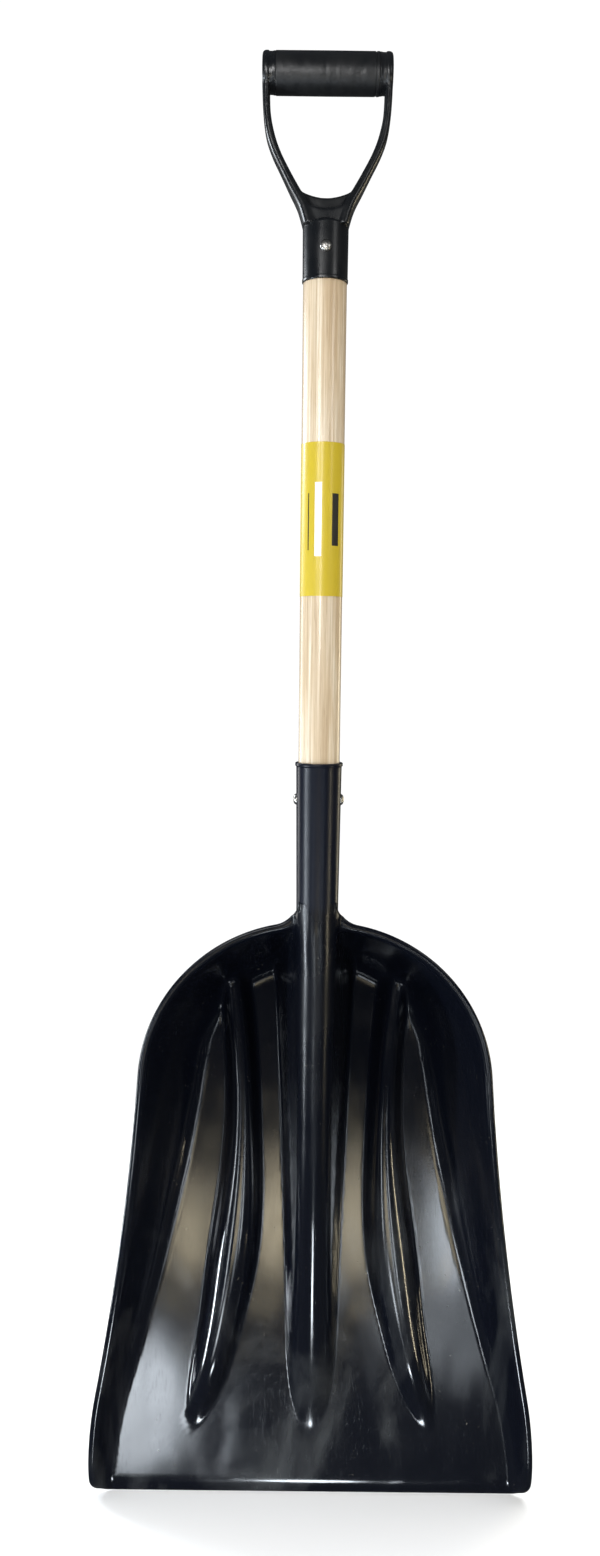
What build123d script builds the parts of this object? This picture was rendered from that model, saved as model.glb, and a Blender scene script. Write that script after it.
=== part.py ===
from build123d import *
import os
from math import cos, exp, radians, sin, sqrt, tan

# D-handled scoop shovel, hanging from its grip. Millimetres, +Z up along the shaft.
# The origin is the centre of the hand grip, on the shaft's axis. +X is to the right of a person who
# looks into the scoop, and the hollow of the scoop faces -Y.

# ---- driving dimensions: shaft -------------------------------------------------------------
FERRULE_BOTTOM = -164.5
SOCKET_MOUTH = -558.0
SHAFT_TOP_RADIUS = 18.0
SHAFT_MOUTH_RADIUS = 17.5
TENON_RADIUS = 14.5
TENON_TOP = -126.0
SHAFT_END = -690.0
SHAFT_END_RADIUS = 14.5
LABEL_TOP = -294.0
LABEL_BOTTOM = -419.0
LABEL_FILM = 0.25

# ---- driving dimensions: D-handle ----------------------------------------------------------
GRIP_RADIUS = 16.6
SLEEVE_HALF_LENGTH = 42.0
ROD_RADIUS = 6.0
ROD_CHAMFER = 0.8
BOSS_RADIUS = 16.2
ROD_SEAT = 6.0
HANDLE_HALF_WIDTH = 52.6
FERRULE_RADIUS = 18.9
FERRULE_TOP = -119.0
HANDLE_CORNER = 3.0
ARM_HALF_DEPTH = 12.0
ARM_FOOT_HALF_DEPTH = 16.9
ARM_SWELL_Z = -78.5
CROTCH_Z = -98.5

# ---- driving dimensions: rivets ------------------------------------------------------------
RIVET_RADIUS = 2.5
RIVET_HEAD_RADIUS = 4.8
RIVET_HEAD_HEIGHT = 3.0
YOKE_RIVET_SEAT = FERRULE_RADIUS - 0.5
SOCKET_RIVET_SEAT = 18.5
YOKE_RIVET_Z = -139.7
SOCKET_RIVET_Z = -589.8

# ---- driving dimensions: socket ------------------------------------------------------------
SOCKET_RADIUS = 19.3
NECK_RADIUS = 18.0
NECK_SIDE = 17.5
SOCKET_END_Z = -701.0
MOUTH_RING_RADIUS = 20.2
MOUTH_RING_HEIGHT = 3.0

# ---- driving dimensions: blade -------------------------------------------------------------
LIP_Z = -1227.0
ARCH_RADIUS = 147.3
ARCH_CENTRE_X = 7.8
ARCH_CENTRE_Z = -842.5
ARCH_END_ANGLE = 4.3
NECK_FILLET = 22.0
FLARE_END_X = 192.8
FLARE_END_Z = -1125.0
FLARE_END_ANGLE = 9.5
LIP_HALF_WIDTH = 199.3
LIP_CORNER_RADIUS = 20.0
RIM_BEND_Z = -1187.0
FLARE_FOOT_Z = -1190.0

SHELL = 4.0
RIM_FACE = 2.5
RIM_WIDTH = 6.5
WALL_DRAFT = 25.5
PAN_START_Z = -1215.0
PAN_START_DEPTH = 14.0
PAN_SLOPE = 0.166
PAN_FILLET = 22.0

CENTRE_CREST = 18.4
CENTRE_CREST_SLOPE = 0.08
CENTRE_FLANK = 78.0
CENTRE_TIP = 44.0
CENTRE_WAIST = 15.5
CENTRE_WAIST_H = 330.0
CENTRE_FLARE = 8e-5
SIDE_RIB_NEAREST = 65.0
SIDE_RIB_NEAREST_H = 315.0
SIDE_RIB_BOW = 5.75e-4
SIDE_RIB_RISE = 20.0
SIDE_RIB_RAMP = 60.0
SIDE_RIB_HALF_WIDTH = 14.0
SIDE_RIB_SWELL = 7.0
SIDE_RIB_SWELL_LENGTH = 85.0
SIDE_RIB_BROADEST_H = 205.0
SIDE_FLANK = 68.0
SIDE_RIB_TIP = 44.0
RIB_NOSE_LENGTH = 70.0

os.makedirs("parts", exist_ok=True)


# ---- shaft ---------------------------------------------------------------------------------
def shaft_radius(z):
    """Radius of the shaft's slow taper between the ferrule and the socket's mouth."""
    share = (z - FERRULE_BOTTOM) / (SOCKET_MOUTH - FERRULE_BOTTOM)
    return SHAFT_TOP_RADIUS + (SHAFT_MOUTH_RADIUS - SHAFT_TOP_RADIUS) * share


def rivet_hole(plane):
    """A hole for a rivet's shank right across the piece in hand, square to the plane, at its origin."""
    with BuildSketch(plane) as hole:
        Circle(RIVET_RADIUS)
    extrude(hole.sketch, amount=2 * FERRULE_RADIUS, both=True, mode=Mode.SUBTRACT)


def rivet_seats(plane, seat):
    """Flat seats under a rivet's two heads, at a distance from the shaft's axis."""
    for side in (-1, 1):
        with BuildSketch(plane.offset(side * seat)) as head:
            Circle(RIVET_HEAD_RADIUS)
        extrude(head.sketch, amount=side * RIVET_HEAD_HEIGHT, mode=Mode.SUBTRACT)


YOKE_RIVET_PLANE = Plane.XZ.shift_origin((0, 0, YOKE_RIVET_Z))
SOCKET_RIVET_PLANE = Plane.YZ.shift_origin((0, 0, SOCKET_RIVET_Z))

with BuildPart() as shaft:
    with BuildSketch(Plane.XZ):
        with BuildLine():
            Polyline(
                (0, TENON_TOP),
                (TENON_RADIUS, TENON_TOP),
                (TENON_RADIUS, FERRULE_BOTTOM),
                (SHAFT_TOP_RADIUS, FERRULE_BOTTOM),
                (SHAFT_MOUTH_RADIUS, SOCKET_MOUTH),
                (SHAFT_END_RADIUS, SHAFT_END),
                (0, SHAFT_END),
                close=True,
            )
        make_face()
    revolve(axis=Axis.Z)
    rivet_hole(YOKE_RIVET_PLANE)
    rivet_hole(SOCKET_RIVET_PLANE)

with BuildPart() as shaft_label:
    with BuildSketch(Plane.XZ):
        with BuildLine():
            Polyline(
                (shaft_radius(LABEL_TOP), LABEL_TOP),
                (shaft_radius(LABEL_TOP) + LABEL_FILM, LABEL_TOP),
                (shaft_radius(LABEL_BOTTOM) + LABEL_FILM, LABEL_BOTTOM),
                (shaft_radius(LABEL_BOTTOM), LABEL_BOTTOM),
                close=True,
            )
        make_face()
    revolve(axis=Axis.Z)


# ---- D-handle ------------------------------------------------------------------------------
ARM_STRAIGHT_Z = -33.0
ARM_KNEE = (44.6, -64.0)
ARM_SHIN = (30.6, -92.0)
ARM_FOOT = (19.2, -119.0)
ARM_FOOT_HEADING = (-0.55, -1)
OPENING_TOP_X = 46.6
OPENING_KNEE = (36.8, -64.0)
OPENING_FOOT = (19.0, -92.5)
OPENING_FOOT_HEADING = (-0.7, -1)

with BuildPart() as handle_yoke:
    with BuildSketch(Plane.XZ):
        with BuildLine():
            top = Line((0, GRIP_RADIUS), (HANDLE_HALF_WIDTH - HANDLE_CORNER, GRIP_RADIUS))
            corner_end = (HANDLE_HALF_WIDTH, GRIP_RADIUS - HANDLE_CORNER)
            corner = TangentArc(top @ 1, corner_end, tangent=top % 1)
            side = Line(corner @ 1, (HANDLE_HALF_WIDTH, ARM_STRAIGHT_Z))
            Spline(side @ 1, ARM_KNEE, ARM_SHIN, ARM_FOOT, tangents=[(0, -1), ARM_FOOT_HEADING])
            Line(ARM_FOOT, (0, ARM_FOOT[1]))
            mirror(about=Plane.YZ)
        make_face()
        with BuildLine():
            inner = Line((OPENING_TOP_X, GRIP_RADIUS), (OPENING_TOP_X, ARM_STRAIGHT_Z))
            bow = Spline(inner @ 1, OPENING_KNEE, OPENING_FOOT, tangents=[(0, -1), OPENING_FOOT_HEADING])
            ThreePointArc(OPENING_FOOT, (0, CROTCH_Z), (-OPENING_FOOT[0], OPENING_FOOT[1]))
            mirror(inner, about=Plane.YZ)
            mirror(bow, about=Plane.YZ)
            Line((OPENING_TOP_X, GRIP_RADIUS), (-OPENING_TOP_X, GRIP_RADIUS))
        make_face(mode=Mode.SUBTRACT)
    extrude(amount=FERRULE_RADIUS, both=True)
    with BuildSketch(Plane.YZ):
        Circle(GRIP_RADIUS)
        with BuildLine():
            Polyline(
                (-ARM_HALF_DEPTH, 0),
                (-ARM_HALF_DEPTH, ARM_SWELL_Z),
                (-ARM_FOOT_HALF_DEPTH, FERRULE_TOP),
                (ARM_FOOT_HALF_DEPTH, FERRULE_TOP),
                (ARM_HALF_DEPTH, ARM_SWELL_Z),
                (ARM_HALF_DEPTH, 0),
                close=True,
            )
        make_face()
    extrude(amount=HANDLE_HALF_WIDTH, both=True, mode=Mode.INTERSECT)
    for side in (-1, 1):
        with BuildSketch(Plane.YZ.offset(side * SLEEVE_HALF_LENGTH)):
            Circle(BOSS_RADIUS)
        extrude(amount=side * (HANDLE_HALF_WIDTH - HANDLE_CORNER - SLEEVE_HALF_LENGTH))
    with BuildSketch(Plane.XY.offset(FERRULE_BOTTOM)):
        Circle(FERRULE_RADIUS)
    extrude(amount=FERRULE_TOP - FERRULE_BOTTOM)
    with BuildSketch(Plane.XY.offset(FERRULE_BOTTOM)):
        Circle(TENON_RADIUS)
    extrude(amount=TENON_TOP - FERRULE_BOTTOM, mode=Mode.SUBTRACT)
    with BuildSketch(Plane.YZ):
        Circle(ROD_RADIUS)
    extrude(amount=SLEEVE_HALF_LENGTH + ROD_SEAT, both=True, mode=Mode.SUBTRACT)
    rivet_hole(YOKE_RIVET_PLANE)
    rivet_seats(YOKE_RIVET_PLANE, YOKE_RIVET_SEAT)

with BuildPart() as grip_sleeve:
    with BuildSketch(Plane.YZ):
        Circle(GRIP_RADIUS)
        Circle(ROD_RADIUS, mode=Mode.SUBTRACT)
    extrude(amount=SLEEVE_HALF_LENGTH, both=True)

with BuildPart() as grip_rod:
    with BuildSketch(Plane.YZ):
        Circle(ROD_RADIUS)
    extrude(amount=SLEEVE_HALF_LENGTH + ROD_SEAT, both=True)
    chamfer(grip_rod.edges().filter_by(GeomType.CIRCLE), ROD_CHAMFER)


# ---- rivets --------------------------------------------------------------------------------
def rivet_profile(plane, seat):
    """Half of a rivet with a dome at both ends: the plane's x is its radius, its y its length."""
    tip = seat + RIVET_HEAD_HEIGHT
    dome = (RIVET_HEAD_RADIUS**2 + RIVET_HEAD_HEIGHT**2) / RIVET_HEAD_HEIGHT / 2
    with BuildSketch(plane) as half:
        with BuildLine():
            Polyline((0, -tip), (0, tip))
            RadiusArc((0, tip), (RIVET_HEAD_RADIUS, seat), dome)
            Polyline(
                (RIVET_HEAD_RADIUS, seat),
                (RIVET_RADIUS, seat),
                (RIVET_RADIUS, -seat),
                (RIVET_HEAD_RADIUS, -seat),
            )
            RadiusArc((RIVET_HEAD_RADIUS, -seat), (0, -tip), dome)
        make_face()
    return half.sketch


with BuildPart() as yoke_rivet:
    along_y = Plane((0, 0, YOKE_RIVET_Z), x_dir=(1, 0, 0), z_dir=(0, 0, 1))
    revolve(rivet_profile(along_y, YOKE_RIVET_SEAT), axis=Axis((0, 0, YOKE_RIVET_Z), (0, 1, 0)))

with BuildPart() as socket_rivet:
    along_x = Plane((0, 0, SOCKET_RIVET_Z), x_dir=(0, 1, 0), z_dir=(0, 0, 1))
    revolve(rivet_profile(along_x, SOCKET_RIVET_SEAT), axis=Axis((0, 0, SOCKET_RIVET_Z), (1, 0, 0)))


# ---- blade: outline and shell --------------------------------------------------------------
DRAFT = radians(WALL_DRAFT)
ARCH_CENTRE = Vector(ARCH_CENTRE_X, ARCH_CENTRE_Z)
NECK_X = NECK_SIDE + NECK_FILLET
NECK_Z = ARCH_CENTRE_Z + sqrt((ARCH_RADIUS + NECK_FILLET) ** 2 - (NECK_X - ARCH_CENTRE_X) ** 2)
BEYOND_LIP = 50.0
WALL_REACH = 110.0
RIB_HEADROOM = 30.0


def blade_plane(level):
    """A plane that faces away from the user, at a height above the shaft's axis."""
    return Plane((0, -level, 0), x_dir=(-1, 0, 0), z_dir=(0, 1, 0))


def arch_point(radius, angle):
    return ARCH_CENTRE + Vector(radius * cos(radians(angle)), radius * sin(radians(angle)))


def flared_side(start, heading, inset):
    """The blade's side from the arch's end down to its foot, moved in by the inset."""
    lean = radians(FLARE_END_ANGLE)
    flare_end = (FLARE_END_X - inset * cos(lean), FLARE_END_Z - inset * sin(lean))
    leaning = TangentArc(start, flare_end, tangent=heading)
    return TangentArc(leaning @ 1, (LIP_HALF_WIDTH - inset, FLARE_FOOT_Z), tangent=leaning % 1)


def wall_outline(inset):
    """The arch and flared sides, moved in from the rim, and cut off square beyond the lip."""
    arch_top = ARCH_CENTRE_Z + ARCH_RADIUS - inset
    bottom = LIP_Z - BEYOND_LIP
    with BuildLine() as line:
        Line((0, arch_top), (ARCH_CENTRE_X, arch_top))
        arch_end = arch_point(ARCH_RADIUS - inset, ARCH_END_ANGLE)
        arch = TangentArc((ARCH_CENTRE_X, arch_top), arch_end, tangent=(1, 0))
        foot = flared_side(arch @ 1, arch % 1, inset)
        Polyline(foot @ 1, (LIP_HALF_WIDTH - inset, bottom), (0, bottom))
        mirror(about=Plane.YZ)
    return line.edges()


def rim_outline():
    """The blade's whole edge: neck, arch, flared sides, rounded corners and straight lip."""
    towards_neck = (Vector(NECK_X, NECK_Z) - ARCH_CENTRE).normalized()
    corner = LIP_CORNER_RADIUS
    with BuildLine() as line:
        Line((0, NECK_Z), (NECK_SIDE, NECK_Z))
        neck = TangentArc((NECK_SIDE, NECK_Z), ARCH_CENTRE + towards_neck * ARCH_RADIUS, tangent=(0, -1))
        arch = TangentArc(neck @ 1, arch_point(ARCH_RADIUS, ARCH_END_ANGLE), tangent=neck % 1)
        foot = flared_side(arch @ 1, arch % 1, 0)
        side = Line(foot @ 1, (LIP_HALF_WIDTH, LIP_Z + corner))
        turn = TangentArc(side @ 1, (LIP_HALF_WIDTH - corner, LIP_Z), tangent=(0, -1))
        Line(turn @ 1, (0, LIP_Z))
        mirror(about=Plane.YZ)
    return line.edges()


def pan_depth(z):
    """How far the pan's floor lies behind the shaft's axis."""
    return PAN_START_DEPTH + PAN_SLOPE * (z - PAN_START_Z)


def cut_at_pan(shift):
    """Cuts the piece in hand off at the pan's floor, moved back by the shift."""
    back = shift * sqrt(1 + PAN_SLOPE**2)
    bottom = LIP_Z - 2 * BEYOND_LIP
    front = -2 * RIB_HEADROOM
    with BuildSketch(Plane.YZ) as profile:
        with BuildLine():
            Polyline(
                (front, bottom),
                (pan_depth(bottom) + back, bottom),
                (pan_depth(NECK_Z) + back, NECK_Z),
                (front, NECK_Z),
                close=True,
            )
        make_face()
    extrude(profile.sketch, amount=LIP_HALF_WIDTH + SHELL, both=True, mode=Mode.INTERSECT)


def scoop_body(shift, level):
    """The drafted body between rim and pan. A shift moves all its walls outwards."""
    inset = RIM_WIDTH - shift / cos(DRAFT) + (RIM_FACE - level) * tan(DRAFT)
    with BuildSketch(blade_plane(level)) as rim:
        make_face(wall_outline(inset))
    extrude(rim.sketch, amount=WALL_REACH, taper=WALL_DRAFT)
    cut_at_pan(shift)


def pan_edges(part):
    """The edges round the pan's floor, without the one beyond the lip."""
    floor = part.faces().filter_by(GeomType.PLANE).sort_by(SortBy.AREA)[-2]
    return floor.edges().filter_by(lambda edge: edge.center().Z > LIP_Z - BEYOND_LIP / 2)


with BuildPart() as hollow:
    scoop_body(0, RIM_FACE)
    fillet(pan_edges(hollow), PAN_FILLET)

with BuildPart() as envelope:
    scoop_body(SHELL, RIM_FACE - SHELL)
    fillet(pan_edges(envelope), PAN_FILLET + SHELL)
    with BuildSketch(blade_plane(RIB_HEADROOM)):
        make_face(rim_outline())
    extrude(amount=RIB_HEADROOM - RIM_FACE + SHELL)
    with BuildSketch(blade_plane(RIB_HEADROOM)):
        make_face(rim_outline())
    extrude(amount=RIB_HEADROOM + WALL_REACH, mode=Mode.INTERSECT)


# ---- blade: ribs ---------------------------------------------------------------------------
def nose(height, tip):
    """How far a rib has grown from its tip, 0 to 1, as the quarter of an ellipse."""
    t = min(max((height - tip) / RIB_NOSE_LENGTH, 0.0), 1.0)
    return sqrt(t * (2 - t))


def ridge_section(middle, crest, radius, flank_angle, height):
    """One section of a rib: a round top at the crest, and straight flanks that run far back."""
    flank = radians(flank_angle)
    centre = radius - crest
    shoulder_x = radius * sin(flank)
    shoulder_y = centre - radius * cos(flank)
    foot_x = shoulder_x + (SECTION_BACK - shoulder_y) / tan(flank)
    left = (middle - shoulder_x, shoulder_y)
    right = (middle + shoulder_x, shoulder_y)
    with BuildSketch(Plane.XY.offset(PAN_START_Z + height)) as section:
        with BuildLine():
            Polyline(left, (middle - foot_x, SECTION_BACK), (middle + foot_x, SECTION_BACK), right)
            ThreePointArc(right, (middle, -crest), left)
        make_face()
    return section.sketch


def centre_rib_section(height, wall):
    """The centre rib carries on the socket's round top, down and out into the pan."""
    growth = nose(height, CENTRE_TIP)
    floor = -pan_depth(PAN_START_Z + height)
    crest = CENTRE_CREST - CENTRE_CREST_SLOPE * (SOCKET_END_Z - PAN_START_Z - height)
    crest = floor + (crest - floor) * growth
    radius = (CENTRE_WAIST + CENTRE_FLARE * (height - CENTRE_WAIST_H) ** 2) * growth
    return ridge_section(0, crest - wall, radius - wall, CENTRE_FLANK, height)


def side_rib_section(side, height, wall):
    """A side rib bows in towards the middle and out again, and is broadest halfway down."""
    growth = nose(height, SIDE_RIB_TIP)
    middle = SIDE_RIB_NEAREST + SIDE_RIB_BOW * (height - SIDE_RIB_NEAREST_H) ** 2
    swell = exp(-(((height - SIDE_RIB_BROADEST_H) / SIDE_RIB_SWELL_LENGTH) ** 2))
    half_width = growth * (SIDE_RIB_HALF_WIDTH + SIDE_RIB_SWELL * swell)
    rise = SIDE_RIB_RISE * growth * (1 - exp(-(height - SIDE_RIB_TIP) / SIDE_RIB_RAMP))
    flank = radians(SIDE_FLANK)
    radius = (half_width - rise / tan(flank)) / tan(flank / 2)
    crest = rise - pan_depth(PAN_START_Z + height)
    return ridge_section(side * middle, crest - wall, radius - wall, SIDE_FLANK, height)


# The heights above the pan's start of the sections that a rib is drawn through. A groove follows each rib on
# the blade's back, so that the wall stays thin, and starts further up than the rib's tip.
TIP_HEIGHTS = (50, 62)
RIB_HEIGHTS = (82, 112, 154, 210, 280, 350)
SIDE_RIB_TOP = (420, 480)
SIDE_GROOVE_TOP = (425,)
RIB_SHORT_OF_NECK = 10.0
GROOVE_SHORT_OF_SOCKET = 6.0
CENTRE_RIB_TOP = (420, 490, NECK_Z - PAN_START_Z - RIB_SHORT_OF_NECK)
CENTRE_GROOVE_TOP = (420, 490, SOCKET_END_Z - PAN_START_Z - GROOVE_SHORT_OF_SOCKET)
SECTION_BACK = 130.0

with BuildPart() as ribs:
    loft([centre_rib_section(h, 0) for h in (*TIP_HEIGHTS, *RIB_HEIGHTS, *CENTRE_RIB_TOP)])
    for side in (-1, 1):
        loft([side_rib_section(side, h, 0) for h in (*TIP_HEIGHTS, *RIB_HEIGHTS, *SIDE_RIB_TOP)])
    add(envelope.part, mode=Mode.INTERSECT)

with BuildPart() as grooves:
    loft([centre_rib_section(h, SHELL) for h in (*RIB_HEIGHTS, *CENTRE_GROOVE_TOP)])
    for side in (-1, 1):
        loft([side_rib_section(side, h, SHELL) for h in (*RIB_HEIGHTS, *SIDE_GROOVE_TOP)])


# ---- blade: one moulding with its socket ---------------------------------------------------
with BuildPart() as blade:
    add(envelope.part)
    split(bisect_by=blade_plane(RIM_FACE), keep=Keep.TOP)
    add(hollow.part, mode=Mode.SUBTRACT)
    with BuildSketch(Plane.YZ):
        with BuildLine():
            lip_front = (pan_depth(LIP_Z), LIP_Z)
            TangentArc((-RIM_FACE, RIM_BEND_Z), lip_front, tangent=(0, -1))
            Polyline(lip_front, (-RIB_HEADROOM, LIP_Z), (-RIB_HEADROOM, RIM_BEND_Z), (-RIM_FACE, RIM_BEND_Z))
        make_face()
    extrude(amount=LIP_HALF_WIDTH, both=True, mode=Mode.SUBTRACT)
    add(ribs.part)
    add(grooves.part, mode=Mode.SUBTRACT)
    with BuildSketch(Plane.XZ):
        with BuildLine():
            Polyline(
                (0, SOCKET_MOUTH),
                (MOUTH_RING_RADIUS, SOCKET_MOUTH),
                (MOUTH_RING_RADIUS, SOCKET_MOUTH - MOUTH_RING_HEIGHT),
                (SOCKET_RADIUS, SOCKET_MOUTH - MOUTH_RING_HEIGHT),
                (NECK_RADIUS, NECK_Z),
                (NECK_RADIUS, SOCKET_END_Z),
                (0, SOCKET_END_Z),
                close=True,
            )
        make_face()
    revolve(axis=Axis.Z)
    with BuildSketch(Plane.XZ):
        with BuildLine():
            Polyline(
                (0, SOCKET_MOUTH),
                (SHAFT_MOUTH_RADIUS, SOCKET_MOUTH),
                (SHAFT_END_RADIUS, SHAFT_END),
                (0, SHAFT_END),
                close=True,
            )
        make_face()
    revolve(axis=Axis.Z, mode=Mode.SUBTRACT)
    rivet_hole(SOCKET_RIVET_PLANE)
    rivet_seats(SOCKET_RIVET_PLANE, SOCKET_RIVET_SEAT)


# ---- export --------------------------------------------------------------------------------
shaft.part.label = "shaft"
export_step(shaft.part, "parts/shaft.step")
shaft_label.part.label = "shaft_label"
export_step(shaft_label.part, "parts/shaft_label.step")
handle_yoke.part.label = "handle_yoke"
export_step(handle_yoke.part, "parts/handle_yoke.step")
grip_sleeve.part.label = "grip_sleeve"
export_step(grip_sleeve.part, "parts/grip_sleeve.step")
grip_rod.part.label = "grip_rod"
export_step(grip_rod.part, "parts/grip_rod.step")
yoke_rivet.part.label = "yoke_rivet"
export_step(yoke_rivet.part, "parts/yoke_rivet.step")
socket_rivet.part.label = "socket_rivet"
export_step(socket_rivet.part, "parts/socket_rivet.step")
blade.part.label = "blade"
export_step(blade.part, "parts/blade.step")
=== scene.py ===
from math import atan2, cos, pi, radians, sin, sqrt, tan

import bmesh
import bpy
import numpy as np
from mathutils import Matrix, Vector

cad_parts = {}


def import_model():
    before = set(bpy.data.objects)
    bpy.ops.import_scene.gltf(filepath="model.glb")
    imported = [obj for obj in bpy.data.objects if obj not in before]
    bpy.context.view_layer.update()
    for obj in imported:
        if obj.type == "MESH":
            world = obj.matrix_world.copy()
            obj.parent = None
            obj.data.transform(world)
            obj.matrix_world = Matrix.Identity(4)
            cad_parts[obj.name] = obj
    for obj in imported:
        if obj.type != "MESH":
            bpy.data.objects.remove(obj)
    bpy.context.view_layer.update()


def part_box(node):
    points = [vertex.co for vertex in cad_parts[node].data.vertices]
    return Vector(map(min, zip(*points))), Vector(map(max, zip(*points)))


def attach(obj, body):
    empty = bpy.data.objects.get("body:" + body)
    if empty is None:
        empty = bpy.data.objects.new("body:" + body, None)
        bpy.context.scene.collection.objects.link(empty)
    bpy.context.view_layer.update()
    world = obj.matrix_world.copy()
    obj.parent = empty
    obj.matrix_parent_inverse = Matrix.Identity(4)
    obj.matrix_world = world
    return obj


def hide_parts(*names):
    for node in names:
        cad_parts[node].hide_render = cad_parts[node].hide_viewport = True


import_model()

MM = 0.001

# ---- sizes taken from the frame, in millimetres ---------------------------------------------
# +Z runs up the shaft, the grip's centre is the origin, and the scoop opens towards -Y.


def node_box(node):
    """A node's lowest and highest corner, in millimetres."""
    low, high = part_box(node)
    return [value / MM for value in low], [value / MM for value in high]


blade_low, blade_high = node_box("blade")
shaft_low, shaft_high = node_box("shaft")
label_low, label_high = node_box("shaft_label")
yoke_low, yoke_high = node_box("handle_yoke")
_, sleeve_high = node_box("grip_sleeve")
_, rod_high = node_box("grip_rod")
yoke_rivet_low, yoke_rivet_high = node_box("yoke_rivet")
socket_rivet_low, socket_rivet_high = node_box("socket_rivet")

LIP_Z = blade_low[2]
SOCKET_MOUTH = blade_high[2]
LIP_HALF_WIDTH = blade_high[0]
FERRULE_BOTTOM = yoke_low[2]
HANDLE_HALF_WIDTH = yoke_high[0]
FERRULE_RADIUS = yoke_high[1]
GRIP_RADIUS = sleeve_high[2]
SLEEVE_HALF_LENGTH = sleeve_high[0]

TENON_TOP = shaft_high[2]
SHAFT_END_Z = shaft_low[2]
SHAFT_TOP_RADIUS = shaft_high[0]

# ---- sizes that a node's box doesn't give, in millimetres -----------------------------------
# The shaft, the socket round it and the ferrule.
SHAFT_MOUTH_RADIUS = 17.5
SHAFT_END_RADIUS = 14.5
TENON_RADIUS = 14.5
SOCKET_RADIUS = 19.3
NECK_RADIUS = 18.0
SOCKET_END_Z = -701.0
MOUTH_RING_RADIUS = 20.2
MOUTH_RING_HEIGHT = 3.0
FERRULE_TOP = -119.0

# The blade's outline, in (x, z) places: the arch, the flared side and its foot, and the neck's fillet.
ARCH_RADIUS = 147.3
ARCH_CENTRE = np.array([7.8, -842.5])
ARCH_END_ANGLE = radians(4.3)
NECK_FILLET = 22.0
NECK_SIDE = 17.5
FLARE_END = np.array([192.8, -1125.0])
FOOT_END = np.array([LIP_HALF_WIDTH, -1190.0])
LIP_CORNER = 20.0
NECK_CENTRE_X = NECK_SIDE + NECK_FILLET
NECK_Z = ARCH_CENTRE[1] + sqrt((ARCH_RADIUS + NECK_FILLET) ** 2 - (NECK_CENTRE_X - ARCH_CENTRE[0]) ** 2)
NECK_CENTRE = np.array([NECK_CENTRE_X, NECK_Z])

# The blade's section: the shell, the rim, the walls and the pan.
SHELL = 4.0
RIM_FACE = 2.5
RIM_WIDTH = 6.5
WALL_SLOPE = 2.1
PAN_START_Z = -1215.0
PAN_START_DEPTH = 14.0
PAN_SLOPE = 0.166


# ---- materials ------------------------------------------------------------------------------
def material(name, **sockets):
    """A new material with some of its shader's sockets set, and the shader itself."""
    made = bpy.data.materials.new(name)
    made.use_nodes = True
    shader = made.node_tree.nodes["Principled BSDF"]
    for socket, value in sockets.items():
        shader.inputs[socket.replace("_", " ")].default_value = value
    return made, shader


def node(made, kind, links=(), **values):
    """Adds a shader node. Links are (socket, output or value) pairs, and values set plain properties."""
    new = made.node_tree.nodes.new(kind)
    for key, value in values.items():
        setattr(new, key, value)
    for socket, source in links:
        if hasattr(source, "is_output"):
            made.node_tree.links.new(source, new.inputs[socket])
        else:
            new.inputs[socket].default_value = source
    return new


def stretched(made, scale):
    """Coordinates fixed to the object, in metres, scaled along each axis."""
    place = node(made, "ShaderNodeTexCoord").outputs["Object"]
    return node(made, "ShaderNodeMapping", [("Vector", place), ("Scale", scale)]).outputs["Vector"]


def noise(made, scale, detail=4.0, roughness=0.55, distortion=0.0):
    """A noise pattern whose grains are about one unit of the scaled coordinates."""
    links = [("Vector", stretched(made, scale)), ("Scale", 1.0), ("Detail", detail)]
    links += [("Roughness", roughness), ("Distortion", distortion)]
    return node(made, "ShaderNodeTexNoise", links).outputs["Fac"]


def ramp(made, source, *stops):
    """A colour or grey that follows a pattern: stops are (position, value) pairs."""
    new = node(made, "ShaderNodeValToRGB", [("Fac", source)])
    elements = new.color_ramp.elements
    while len(elements) < len(stops):
        elements.new(0.5)
    for element, (position, value) in zip(elements, stops):
        element.position = position
        element.color = (*value, 1.0) if isinstance(value, tuple) else (value, value, value, 1.0)
    return new.outputs["Color"]


def mix(made, share, first, second):
    """Mixes two colours by a share between 0 and 1. Sockets 6 and 7 and output 2 are the colour ones."""
    colours = [source if hasattr(source, "is_output") else (*source, 1.0) for source in (first, second)]
    links = [(0, share), (6, colours[0]), (7, colours[1])]
    return node(made, "ShaderNodeMix", links, data_type="RGBA").outputs[2]


def arithmetic(made, operation, first, second=0.0, third=0.0):
    """One step of arithmetic on shader values."""
    links = [(0, first), (1, second), (2, third)]
    return node(made, "ShaderNodeMath", links, operation=operation).outputs[0]


def between(made, value, start, end):
    """Rises softly from 0 to 1 while a value goes from start to end."""
    links = [("Value", value), ("From Min", start), ("From Max", end)]
    return node(made, "ShaderNodeMapRange", links, interpolation_type="SMOOTHSTEP").outputs["Result"]


def bump(made, shader, height, depth, under=None):
    """Adds relief of a real depth in metres, on top of an earlier relief if there is one."""
    links = [("Height", height), ("Distance", depth), ("Strength", 1.0)]
    if under is not None:
        links.append(("Normal", under))
    relief = node(made, "ShaderNodeBump", links).outputs["Normal"]
    made.node_tree.links.new(relief, shader.inputs["Normal"])
    return relief


def into(made, source, shader, socket):
    """Links an output to one of the shader's sockets."""
    made.node_tree.links.new(source, shader.inputs[socket])


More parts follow.
